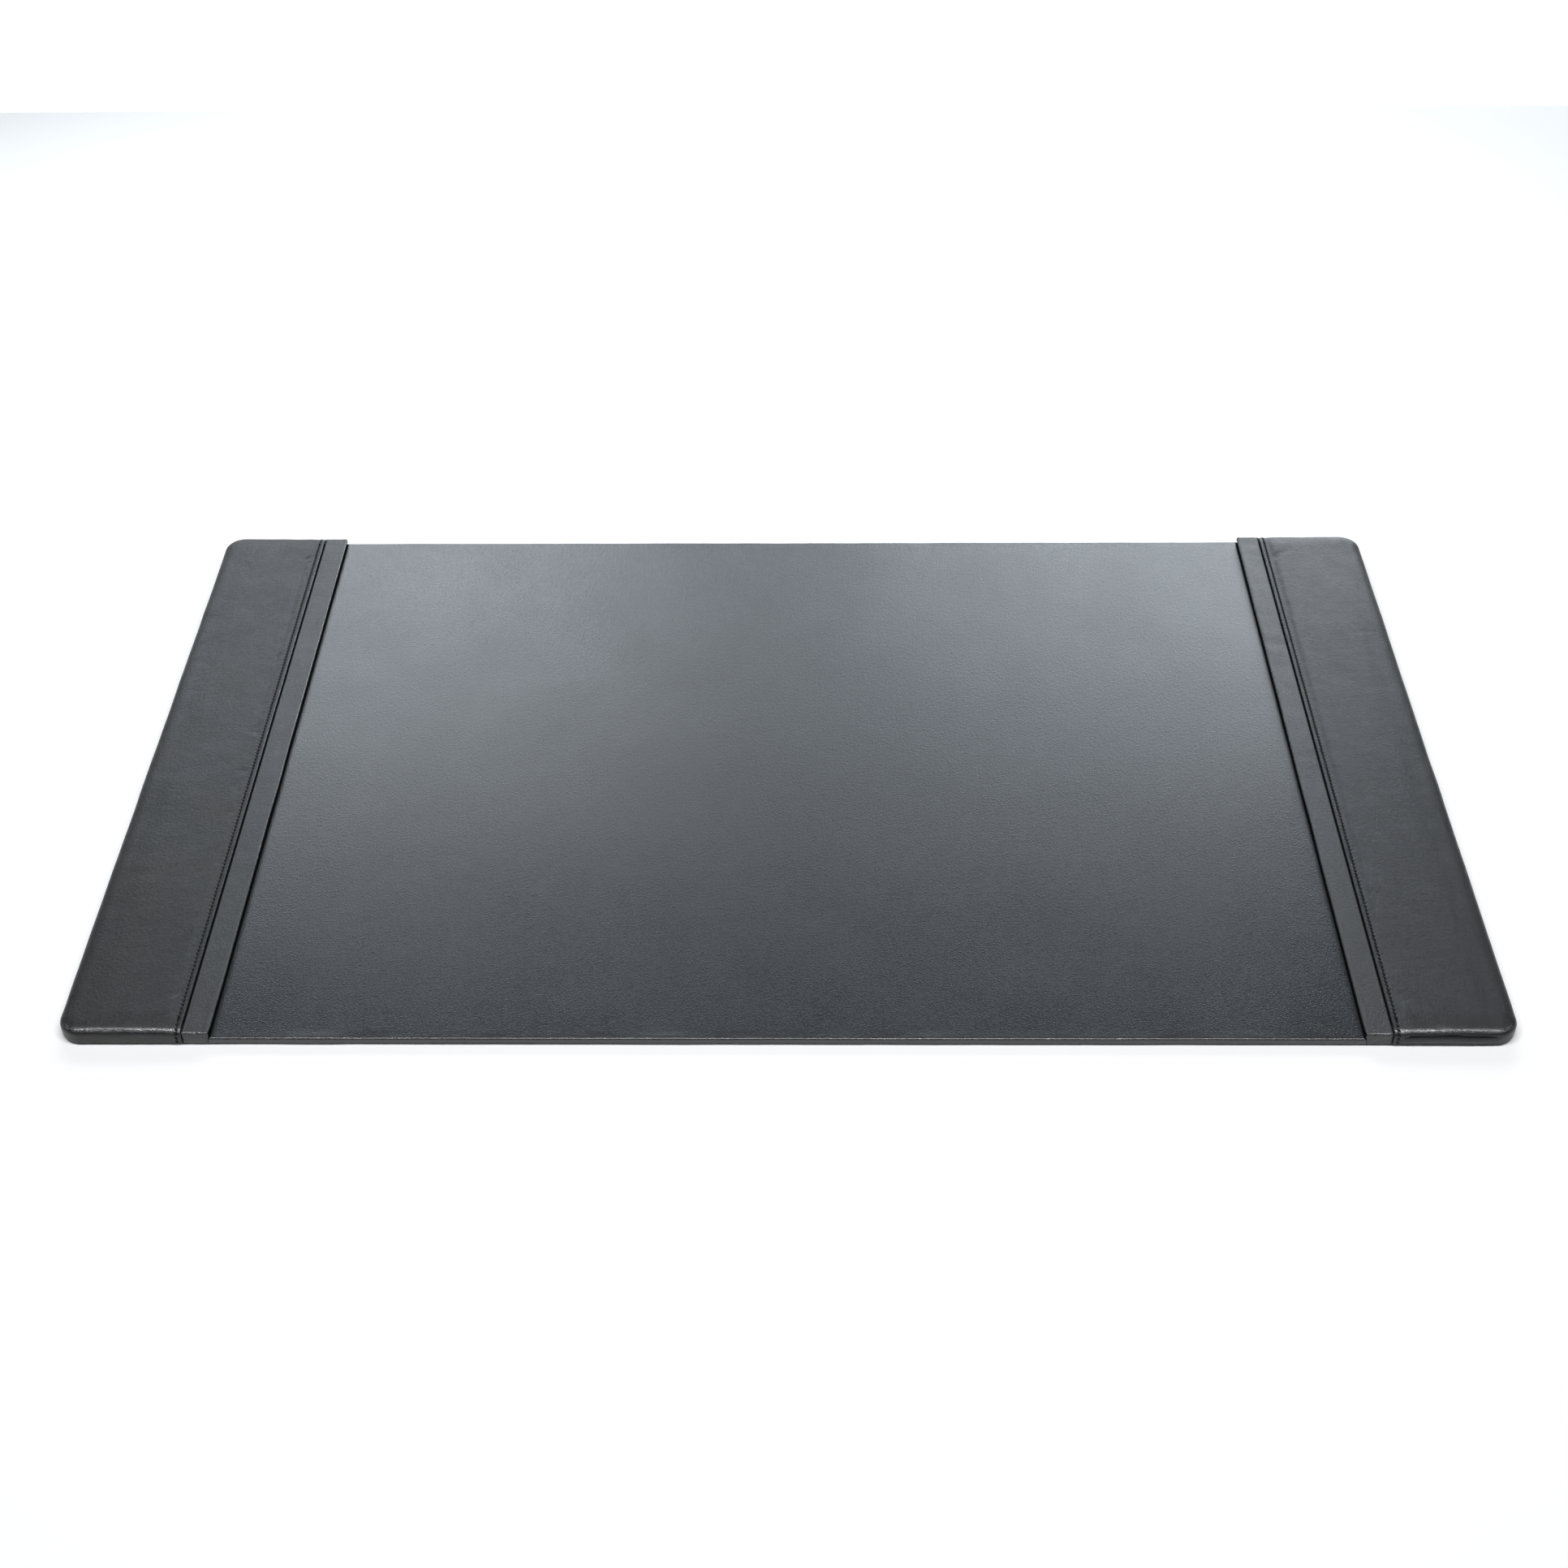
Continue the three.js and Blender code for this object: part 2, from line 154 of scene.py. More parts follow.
def make(name, verts, faces, material, side=1, polish_and_painted_light=None):
    """A smooth mesh object from millimetres. side=-1 mirrors it to the left."""
    verts = verts * np.array([side, 1, 1])
    if side < 0:
        faces = faces[:, ::-1]
    tidy = []
    for face in faces.tolist():
        kept = [v for i, v in enumerate(face) if v != face[i - 1]]
        if len(kept) > 2:
            tidy.append(kept)
    mesh = bpy.data.meshes.new(name)
    mesh.from_pydata((verts * MM).tolist(), [], tidy)
    mesh.polygons.foreach_set("use_smooth", [True] * len(mesh.polygons))
    # Per-vertex attribute: polish with a painted highlight where positive, painted shade where negative
    if polish_and_painted_light is not None:
        full = np.zeros(len(verts))
        full[: len(polish_and_painted_light)] = polish_and_painted_light
        mesh.attributes.new("polish_and_painted_light", "FLOAT", "POINT").data.foreach_set("value", full)
    mesh.update()
    mesh.materials.append(material)
    obj = bpy.data.objects.new(name, mesh)
    bpy.context.scene.collection.objects.link(obj)
    return obj


def skirted(xs, ys, top, radius, rings, arc, open_side):
    """A flat grid over xs and ys, and a skirt round it whose rings are [inset, height] outlines.

    The outlines have round corners of the radius given and are drawn inside the outer edge. With open_side
    the skirt leaves out the side at xs[0]. Returns vertices, faces, the grid's vertex numbers and the rings'.
    """
    nx, ny = len(xs), len(ys)
    grid = np.arange(nx * ny).reshape(ny, nx)
    flat = np.stack([np.tile(xs, ny), np.repeat(ys, nx), np.full(nx * ny, top)], axis=1)
    runs = [(grid[0], -90), (grid[:, -1], 0), (grid[-1, ::-1], 90), (grid[::-1, 0], 180)]
    if open_side:
        runs.pop()
    base, angle = [], []
    for number, (run, way) in enumerate(runs):
        base += list(run)
        angle += [way] * len(run)
        if number + 1 < len(runs) or not open_side:
            turn = np.linspace(way, way + 90, arc + 1)[1:-1]
            base += [run[-1]] * len(turn)
            angle += list(turn)
    base = np.array(base)
    angle = np.radians(angle)
    out = np.stack([np.cos(angle), np.sin(angle)], axis=1)
    verts, faces = [flat], [quads(grid)]
    before, numbers, start = base, [], nx * ny
    for inset, height in rings:
        ring = np.empty((len(base), 3))
        ring[:, :2] = flat[base, :2] + out * (radius - inset)
        ring[:, 2] = height
        verts.append(ring)
        now = np.arange(start, start + len(base))
        start += len(base)
        numbers.append(now)
        a, b = (before, now) if open_side else (np.append(before, before[0]), np.append(now, now[0]))
        faces.append(np.stack([a[:-1], b[:-1], b[1:], a[1:]], axis=1))
        before = now
    return np.concatenate(verts), np.concatenate(faces), grid, np.array(numbers)


def roll(width, height, start, count, skip=0.0):
    """A full rolled edge from the top outwards, as [inset, height] pairs, `skip` inside the outer surface."""
    power = 2 / FULLNESS
    turn = np.linspace(math.pi / 2, 0, count + 1)
    across = np.cos(turn).clip(0) ** power
    up = np.sin(turn).clip(0) ** power
    return [(skip + (width - skip) * (1 - a), start + (height - skip) * u) for a, u in zip(across, up)]


def quarter(inset, height, radius, count):
    """A rounded bottom edge, from the wall inwards."""
    turn = np.linspace(0, math.pi / 2, count + 1)[1:]
    return [(inset + radius * (1 - math.cos(a)), height + radius * (1 - math.sin(a))) for a in turn]


# ------------------------------------------------------------------ materials


class Look:
    """A material built from nodes, with its pattern in millimetres of the object's own space."""

    def __init__(self, name):
        self.material = bpy.data.materials.new(name)
        self.material.use_nodes = True
        self.tree = self.material.node_tree
        self.shader = self.tree.nodes["Principled BSDF"]
        place = self.tree.nodes.new("ShaderNodeTexCoord")
        scale = self.tree.nodes.new("ShaderNodeMapping")
        scale.inputs["Scale"].default_value = (1 / MM,) * 3
        self.tree.links.new(place.outputs["Object"], scale.inputs["Vector"])
        self.place = scale.outputs["Vector"]

    def add(self, kind, inputs=(), **settings):
        node = self.tree.nodes.new(kind)
        for key, value in settings.items():
            setattr(node, key, value)
        for key, value in dict(inputs).items():
            self.set(node, key, value)
        return node

    def set(self, node, key, value):
        if isinstance(value, bpy.types.NodeSocket):
            self.tree.links.new(value, node.inputs[key])
        else:
            node.inputs[key].default_value = value

    def noise(self, size, detail=2.0, rough=0.5, stretch=(1, 1, 1), seed=0.0):
        """Cloudy noise with features about `size` mm across, from 0 to 1."""
        shift = {"Vector": self.place, "Scale": stretch, "Location": (seed, seed * 0.7, seed * 0.4)}
        moved = self.add("ShaderNodeMapping", shift)
        inputs = {"Vector": moved.outputs[0], "Scale": 1 / size, "Detail": detail, "Roughness": rough}
        return self.add("ShaderNodeTexNoise", inputs).outputs["Fac"]

    def cells(self, size, feature="DISTANCE_TO_EDGE", wobble=0.35):
        """A pattern of cells about `size` mm across."""
        push = self.add("ShaderNodeTexNoise", {"Vector": self.place, "Scale": 1.1 / size, "Detail": 1.0})
        amount = self.add("ShaderNodeVectorMath", {0: push.outputs["Color"]}, operation="SCALE")
        amount.inputs["Scale"].default_value = wobble * size
        moved = self.add("ShaderNodeVectorMath", {0: self.place, 1: amount.outputs[0]}, operation="ADD")
        inputs = {"Vector": moved.outputs[0], "Scale": 1 / size}
        return self.add("ShaderNodeTexVoronoi", inputs, feature=feature).outputs["Distance"]

    def ramp(self, value, low, high, to_low=0.0, to_high=1.0):
        """A smooth step of a value."""
        inputs = {0: value, 1: low, 2: high, 3: to_low, 4: to_high}
        return self.add("ShaderNodeMapRange", inputs, interpolation_type="SMOOTHSTEP").outputs[0]

    def math(self, operation, a, b):
        return self.add("ShaderNodeMath", {0: a, 1: b}, operation=operation).outputs[0]

    def blend(self, amount, a, b):
        """Colour a where amount is 0 and b where it is 1."""
        node = self.add("ShaderNodeMix", data_type="RGBA")
        for number, value in ((0, amount), (6, a), (7, b)):
            self.set(node, number, (*value, 1) if isinstance(value, tuple) else value)
        return node.outputs[2]

    def split_polish_and_painted_light(self):
        """Where the surface is polished and its colour lightened as a painted highlight, and where its colour
        is darkened and dulled as painted shade.
        """
        polish_and_painted_light = self.add("ShaderNodeAttribute", attribute_name="polish_and_painted_light").outputs["Fac"]
        return self.ramp(polish_and_painted_light, 0.0, 1.0), self.ramp(polish_and_painted_light, 0.0, -1.0)

    def bump(self, height, depth, under=None):
        """Relief `depth` mm deep."""
        inputs = {"Height": height, "Distance": depth * MM, "Strength": 1.0}
        if under is not None:
            inputs["Normal"] = under
        return self.add("ShaderNodeBump", inputs).outputs[0]

    def done(self, **inputs):
        for key, value in inputs.items():
            value = (*value, 1) if isinstance(value, tuple) else value
            self.set(self.shader, key.replace("_", " "), value)
        return self.material


def leather(name, cool, warm, grain=0.85, shine=0.5):
    """Smooth dyed leather: fine grain with tiny pores, cloudy dye, polished edges whose colour is lightened
    as a painted highlight, and painted shade darkening grooves, slots and creases.
    """
    look = Look(name)
    cloud = look.noise(34, 4, 0.6, seed=3)
    hue = look.noise(110, 2, 0.5, seed=8)
    polish_and_painted_light, painted_shade = look.split_polish_and_painted_light()
    dye = look.blend(look.ramp(hue, 0.35, 0.7), cool, warm)
    faded = look.blend(look.ramp(cloud, 0.3, 0.75), dye, (0.0088, 0.0096, 0.0112))
    # Painted highlight: the colour is lightened on rolls, lips and stitch bridges, where the lamps'
    # highlights fall
    colour = look.blend(look.math("MULTIPLY", polish_and_painted_light, 0.5), faded, (0.075, 0.08, 0.088))
    crease = look.ramp(look.cells(grain), 0.0, 0.16)
    clump = look.noise(2.1, 2, 0.6, seed=12)
    fine = look.noise(0.33, 2, 0.6)
    soft = look.noise(5.5, 3, 0.55, seed=5)
    colour = look.blend(crease, (0.005, 0.005, 0.006), colour)
    # Painted shade: the colour is darkened nearly to black in grooves, slots and creases
    colour = look.blend(painted_shade, colour, (0.002, 0.002, 0.0024))
    patch = look.math("MULTIPLY", look.ramp(soft, 0.25, 0.75), 0.06)
    grit = look.math("MULTIPLY", look.ramp(clump, 0.3, 0.7), 0.06)
    rough = look.math("ADD", look.ramp(cloud, 0.2, 0.8, 0.34, 0.28), look.math("ADD", patch, grit))
    rough = look.math("SUBTRACT", rough, look.math("MULTIPLY", polish_and_painted_light, 0.22))
    rough = look.math("ADD", rough, look.math("MULTIPLY", painted_shade, 0.4))
    relief = look.bump(crease, 0.045)
    relief = look.bump(fine, 0.03, relief)
    relief = look.bump(clump, 0.19, relief)
    relief = look.bump(soft, 0.05, relief)
    level = look.math("ADD", look.ramp(painted_shade, 0.0, 1.0, shine, 0.05), look.math("MULTIPLY", polish_and_painted_light, 0.4))
    return look.done(Base_Color=colour, Roughness=rough, Normal=relief, Specular_IOR_Level=level)


def leatherette(name):
    """The writing surface's sheet: an even pebble grain with a low sheen."""
    look = Look(name)
    pebble = look.ramp(look.cells(1.5, wobble=0.4), 0.0, 0.35)
    fine = look.noise(0.5, 2, 0.6)
    cloud = look.noise(60, 3, 0.55, seed=2)
    clump = look.noise(2.3, 2, 0.65, seed=14)
    polish_and_painted_light, painted_shade = look.split_polish_and_painted_light()
    colour = look.blend(look.ramp(cloud, 0.3, 0.7), (0.0085, 0.0095, 0.0112), (0.0110, 0.0120, 0.0137))
    colour = look.blend(pebble, (0.0078, 0.0086, 0.0101), colour)
    # Painted highlight: the colour is lightened along the top of the front and rear rolls
    colour = look.blend(look.math("MULTIPLY", polish_and_painted_light, 0.5), colour, (0.04, 0.043, 0.049))
    # Painted shadow: the colour is darkened nearly to black in a band beside each strip's free edge
    colour = look.blend(painted_shade, colour, (0.002, 0.002, 0.0024))
    rough = look.math("SUBTRACT", look.ramp(cloud, 0.3, 0.7, 0.335, 0.305), look.math("MULTIPLY", polish_and_painted_light, 0.22))
    rough = look.math("ADD", rough, look.math("MULTIPLY", painted_shade, 0.4))
    relief = look.bump(pebble, 0.045)
    relief = look.bump(fine, 0.01, relief)
    relief = look.bump(clump, 0.07, relief)
    level = look.ramp(painted_shade, 0.0, 1.0, 0.85, 0.05)
    return look.done(Base_Color=colour, Roughness=rough, Normal=relief, Specular_IOR_Level=level)


def felt(name):
    """Pressed felt: short matted fibres with a soft sheen."""
    look = Look(name)
    fibre = look.noise(0.5, 4, 0.7, (1, 0.35, 1))
    cross = look.noise(0.5, 4, 0.7, (0.35, 1, 1), seed=9)
    both = look.math("MAXIMUM", fibre, cross)
    cloud = look.noise(22, 3, 0.6, seed=1)
    shade = look.math("MULTIPLY", look.ramp(both, 0.45, 0.75), look.ramp(cloud, 0.2, 0.8, 0.5, 1.0))
    colour = look.blend(shade, (0.008, 0.0085, 0.0095), (0.038, 0.039, 0.043))
    relief = look.bump(both, 0.25)
    look.done(Sheen_Weight=0.35, Sheen_Roughness=0.5, Specular_IOR_Level=0.2)
    return look.done(Base_Color=colour, Roughness=0.95, Normal=relief)


def pressed(name, dark, light, fleck, grain):
    """Greyboard or fibreboard: pressed fibres and flecks."""
    look = Look(name)
    long = look.noise(grain, 5, 0.65, (0.3, 1, 1))
    speck = look.ramp(look.cells(grain * 1.6, "F1"), 0.05, 0.16, 1.0, 0.0)
    cloud = look.noise(40, 3, 0.6, seed=6)
    amount = look.math("MULTIPLY", look.ramp(long, 0.3, 0.7), look.ramp(cloud, 0.2, 0.8, 0.6, 1.0))
    colour = look.blend(look.math("MULTIPLY", speck, 0.5), look.blend(amount, dark, light), fleck)
    rough = look.ramp(long, 0.3, 0.7, 0.95, 0.82)
    relief = look.bump(long, 0.08)
    return look.done(Base_Color=colour, Roughness=rough, Normal=relief, Specular_IOR_Level=0.25)


def open_cell(name):
    """Upholstery foam: small open cells."""
    look = Look(name)
    cell = look.ramp(look.cells(0.8, wobble=0.6), 0.0, 0.25)
    cloud = look.noise(18, 3, 0.6, seed=4)
    light = look.blend(look.ramp(cloud, 0.3, 0.7), (0.62, 0.58, 0.46), (0.7, 0.67, 0.56))
    colour = look.blend(cell, light, (0.4, 0.36, 0.27))
    relief = look.bump(cell, -0.25)
    return look.done(Base_Color=colour, Roughness=0.95, Normal=relief, Specular_IOR_Level=0.2)


def sewing_thread(name):
    """Twisted, bonded black thread."""
    look = Look(name)
    twist = look.noise(0.16, 3, 0.6, (1, 0.5, 1))
    shade = look.noise(3, 2, 0.5, seed=7)
    colour = look.blend(look.ramp(twist, 0.3, 0.7), (0.002, 0.002, 0.0025), (0.008, 0.008, 0.009))
    rough = look.ramp(shade, 0.3, 0.7, 0.5, 0.62)
    relief = look.bump(twist, 0.05)
    return look.done(Base_Color=colour, Roughness=rough, Normal=relief, Specular_IOR_Level=0.22)


LEATHER = {
    1: leather("rail_leather_right", (0.0060, 0.0067, 0.0083), (0.0078, 0.0079, 0.0088)),
    -1: leather("rail_leather_left", (0.0064, 0.0068, 0.0080), (0.0125, 0.0105, 0.0080)),
}
STRIP_LEATHER = leather("strip_leather", (0.0038, 0.0042, 0.0048), (0.005, 0.0049, 0.0048), 0.8, 0.75)
SHEET = leatherette("writing_sheet")
FELT = felt("felt")
CARD = pressed("card", (0.30, 0.25, 0.19), (0.47, 0.41, 0.32), (0.16, 0.13, 0.10), 0.7)
BOARD = pressed("board", (0.17, 0.115, 0.07), (0.31, 0.22, 0.14), (0.09, 0.055, 0.03), 1.0)
FOAM = open_cell("foam")
THREAD_LOOK = sewing_thread("thread")


# ----------------------------------------------------------- the padded rails


def rail_surface(fine):
    """The outer surface of the right rail's cover, with its hem folded under at the inner edge.

    Returns vertices, faces, how far along the seam each vertex is, how far round the hem's fold it is (0 on
    the open surface) and which vertex of the open surface it hangs from.
    """
    start = RAIL_LOW[0] + HEM / 2
    corner_x = END_X - CORNER
    corner_y = EDGE_Y - CORNER
    if fine:
        xs = steps(start, 0.6, STITCH_X - 1.1, 0.28, STITCH_X + 1.2, 0.7, PAD_X + 1, 2.8, corner_x)
        ys = steps(-corner_y, PITCH / 6, corner_y)
        rolled, arc = 16, 14
    else:
        xs = steps(start, 1.6, STITCH_X + 2, 4.0, corner_x)
        ys = steps(-corner_y, 4.0, corner_y)
        rolled, arc = 8, 7
    rings = [(CORNER - 0.8, TOP)] + roll(ROLL_WIDTH, ROLL_HEIGHT, TOP - ROLL_HEIGHT, rolled)
    wall = np.linspace(TOP - ROLL_HEIGHT, RAIL_LOW[2] + BOTTOM_ROLL, 9 if fine else 3)[1:]
    rings += [(0.0, z) for z in wall]
    rings += quarter(0.0, RAIL_LOW[2], BOTTOM_ROLL, 4 if fine else 2)
    rings += [(d, RAIL_LOW[2]) for d in np.linspace(BOTTOM_ROLL, CORNER - 0.6, 6 if fine else 3)[1:]]
    verts, faces, grid, ring = skirted(xs, ys, TOP, CORNER, rings, arc, True)
    down = np.cumsum(np.hypot(*np.diff([(CORNER, TOP)] + rings, axis=0).T))
    seam = verts[:, 1].copy()
    for row, far in zip(ring, down):
        seam[row[: len(xs)]] = -corner_y - far
        seam[row[-len(xs) :]] = corner_y + far
    path = np.concatenate([ring[::-1, 0], grid[:, 0], ring[:, -1]])
    way = np.gradient(verts[path], axis=0)
    way /= np.linalg.norm(way, axis=1)[:, None]
    out = np.cross([1.0, 0, 0], way)
    half = hem_half(out[:, 2])
    turns = np.linspace(0, math.pi, 11 if fine else 5)[1:]
    tail = steps(start, 1.6, STRIP_HIGH[0])[1:]
    columns = [(start - HEM / 2 * math.sin(a), 1 - math.cos(a), a) for a in turns]
    columns += [(x, 2.0, math.pi) for x in tail]
    all_verts, all_faces, folded = [verts], [faces], [np.zeros(len(verts))]
    source = [np.arange(len(verts))]
    before, count = path, len(verts)
    for x, deep, turn in columns:
        column = verts[path] - out * (half * deep)[:, None]
        column[:, 0] = x
        now = np.arange(count, count + len(path))
        count += len(path)
        all_verts.append(column)
        folded.append(np.full(len(path), turn))
        source.append(path)
        all_faces.append(np.stack([now[:-1], before[:-1], before[1:], now[1:]], axis=1))
        before = now
    source = np.concatenate(source)
    return np.concatenate(all_verts), np.concatenate(all_faces), seam[source], np.concatenate(folded), source


def hem_half(level):
    """Half the folded hem's thickness: full on the top and skived thin on the walls."""
    return PLY + (HEM / 2 - PLY) * smooth(level, 0.3, 1.0)


def swell(side):
    """How the padding pushes the cover out, by simulating a coarse copy held at its hem and walls."""
    verts, faces, _, folded, _ = rail_surface(False)
    drape = make("swelling", verts, faces, THREAD_LOOK, side)
    world = verts * np.array([side, 1, 1])
    held = (folded > 0) | (verts[:, 0] < STITCH_X + 1.5) | (verts[:, 2] < TOP - 4.4)
    drape.vertex_groups.new(name="held").add([int(i) for i in np.flatnonzero(held)], 1.0, "REPLACE")
    cloth = drape.modifiers.new("cloth", "CLOTH")
    setting = cloth.settings
    setting.quality = 6
    setting.mass = 0.3
    setting.tension_stiffness = 12
    setting.compression_stiffness = 12
    setting.shear_stiffness = 6
    setting.bending_stiffness = 0.6
    setting.vertex_group_mass = "held"
    setting.use_pressure = True
    setting.uniform_pressure_force = 4
    setting.shrink_min = -0.012 if side < 0 else -0.010
    setting.effector_weights.gravity = 0
    cloth.collision_settings.use_collision = False
    cloth.point_cache.frame_start = 1
    cloth.point_cache.frame_end = CLOTH_FRAMES
    scene = bpy.context.scene
    for number in range(1, CLOTH_FRAMES + 1):
        scene.frame_set(number)
    seen = drape.evaluated_get(bpy.context.evaluated_depsgraph_get())
    after = np.empty(len(seen.data.vertices) * 3)
    seen.data.vertices.foreach_get("co", after)
    moved = after.reshape(-1, 3) / MM - world
    scene.frame_set(1)
    tidy = [list(p.vertices) for p in drape.data.polygons]
    mesh = drape.data
    bpy.data.objects.remove(drape)
    bpy.data.meshes.remove(mesh)
    return world, tidy, moved


def carried(points, swelling, cap):
    """The simulated movement at each point, never more than cap mm."""
    world, polygons, moved = swelling
    triangles = [(p[0], p[i], p[i + 1]) for p in polygons for i in range(1, len(p) - 1)]
    start = [Vector(v) for v in world]
    tree = BVHTree.FromPolygons(start, triangles)
    length = np.linalg.norm(moved, axis=1)
    capped = moved * (np.tanh(length / cap) * cap / np.maximum(length, 1e-9))[:, None]
    end = [Vector(v) for v in world + capped]
    out = np.zeros_like(points)
    for number, point in enumerate(points):
        near, _, face, _ = tree.find_nearest(Vector(point))
        a, b, c = triangles[face]
        out[number] = barycentric_transform(near, start[a], start[b], start[c], end[a], end[b], end[c]) - near
    return out


def rail_cover(side):
    """The leather panel of one rail. Returns the object and the seam's path over it, for the stitches."""
    verts, faces, seam, folded, source = rail_surface(True)
    flip = np.array([side, 1, 1])
    out = normals(verts, faces)[source]
    place = verts * flip
    x, y, z = verts.T
    skin = folded == 0
    top = smooth(out[:, 2], 0.2, 0.9)
    wall = smooth(z, TOP - 3.4, TOP - 5.4) * smooth(z, 1.6, 3.0)
    pad = smooth(x, STITCH_X + 2, PAD_X)
    ends = smooth(np.abs(y), EDGE_Y - 16, EDGE_Y - 4)
    rebate = (1 - smooth(x, STITCH_X + 1.2, PAD_X + 2)) * smooth(z, TOP - 3.9, TOP - 1.4)
    height = -RECESS * rebate * smooth(out[:, 2], 0.1, 0.8)
    hump = np.exp(-(((x - PAD_X + 1.7) / 1.5) ** 2)) * top
    height += 0.06 * hump
    # The padding's slow swells, and leather dragged towards the seam
    tide = waves(11 + side, 70)(place) * 0.07 + waves(21 + side, 26)(place) * 0.035
    tide += waves(31 + side, 9, 30)(place) * 0.014
    drag = waves(41 + side, 13, 30, (3.0, 1, 1))(place) * smooth(x, STITCH_X + 15, STITCH_X + 3) * 0.05
    edge = waves(61 + side, 24, 24)(place) * 0.05 * ends
    edge *= smooth(z, TOP - 5.9, TOP - 2.4) * smooth(x, END_X - 6.8, END_X - 21.8)
    height += (tide + drag + edge) * pad
    # Short puckers at every stitch
    beside = np.abs(x - STITCH_X)
    height += np.cos(2 * math.pi * seam / PITCH) * np.exp(-(((beside - 1.5) / 0.7) ** 2)) * 0.035 * top
    # Creases down the tight wall, closest round the corners
    corner = smooth(x, END_X - 26.8, END_X - 7.8) * smooth(np.abs(y), EDGE_Y - 24, EDGE_Y - 8)
    height += waves(51 + side, 7, 30, (1, 1, 4.0))(place) * (0.04 + 0.03 * ends) * wall * (1 - corner)
    height += waves(56 + side, 3.2, 30, (1, 1, 5.0))(place) * 0.025 * corner * wall
    tuck = np.zeros(len(x))
    if side > 0:
        # The right rail's front wall is folded into a long soft tuck, which dies out at the corner
        line = TOP - 4 + 0.35 * np.sin(x / 7.5) + 0.18 * np.sin(x / 3.1 + 1)
        reach = smooth(y, 4 - EDGE_Y, 1 - EDGE_Y) * smooth(x, STITCH_X + 1, STITCH_X + 5)
        reach *= smooth(x, END_X - 7.8, END_X - 19.8)
        tuck = np.exp(-(((z - line) / 0.5) ** 2)) * reach
        height -= 1.1 * tuck
        height += 0.3 * np.exp(-(((z - line + 3.2) / 1.7) ** 2)) * reach
    verts = verts + (out * (height * skin)[:, None])[source]
    soft = pad * skin * (1 - 0.8 * ends) * (1 - 0.8 * smooth(x, END_X - 23.8, END_X - 11.8))
    moving = np.flatnonzero(soft > 0)
    push = carried((verts * flip)[moving], swell(side), SWELL_CAP)
    verts[moving] += push * flip * soft[moving, None]
    # The seam's path, before the needle marks it
    column = np.flatnonzero(skin & (beside < 0.15))
    column = column[np.argsort(seam[column])]
    _, first = np.unique(seam[column].round(3), return_index=True)
    column = column[first]
    route = (seam[column], verts[column, 1], verts[column, 2])
    # Each stitch presses the leather into a slot, its ends go down in holes, and a bridge stands between two
    cycle = seam / PITCH % 1
    hole = PITCH * np.minimum(cycle, 1 - cycle)
    leaning = x - STITCH_X - side * LEAN * (1 - 2 * cycle)
    marks = 0.10 * np.exp(-(((x - STITCH_X) / 1.0) ** 2))
    marks += 0.30 * np.exp(-((leaning / 0.6) ** 2)) * smooth(hole, 0.3, 0.8)
    marks += 0.30 * np.exp(-((leaning / 0.5) ** 2)) * np.exp(-(((hole - 0.6) / 0.32) ** 2))
    bridge = np.exp(-(((x - STITCH_X) / 1.0) ** 2)) * np.exp(-((hole / 0.45) ** 2)) * skin
    marks -= 0.28 * bridge
    verts -= out * (marks * smooth(z, 1.3, 1.8) * skin)[:, None]
    half = hem_half(out[:, 2]) - 0.02
    thick = np.where(skin, half + (1.0 - half) * smooth(x, PAD_X, PAD_X + 2.5), half)
    thick = np.where(z < 1.9, np.minimum(thick, 0.8), thick)
    # Polish and painted highlight: the front and rear rolls where the overhead lamp's highlight falls, the
    # hem's lip more towards the rear and on the left rail where the side lamps catch it, and a painted glint
    # on each stitch bridge
    rolled = np.exp(-(((z - TOP + 1.2) / 0.7) ** 2)) * smooth(out[:, 2], 0.985, 0.93)
    rolled *= smooth(np.abs(y), EDGE_Y - 11, EDGE_Y - 4) * skin
    fold_polish_and_painted_highlight = (0.35 + 0.65 * smooth(y, -220, 60)) * (1.0 if side < 0 else 0.6)
    # Painted shade: the stitch slots and the right front tuck's crease are darkened and dulled
    slot = np.exp(-((leaning / 0.75) ** 2)) * smooth(hole, 0.35, 0.75) * skin
    polish_and_painted_light = np.clip(np.sin(folded) * fold_polish_and_painted_highlight + rolled + 0.7 * bridge, 0, 1) - slot - 0.9 * tuck * skin
    verts, faces = shell(verts, faces, thick)
    obj = make(("right" if side > 0 else "left") + "_rail_cover", verts, faces, LEATHER[side], side, polish_and_painted_light)
    return obj, route


# ------------------------------------------------------------------- stitches


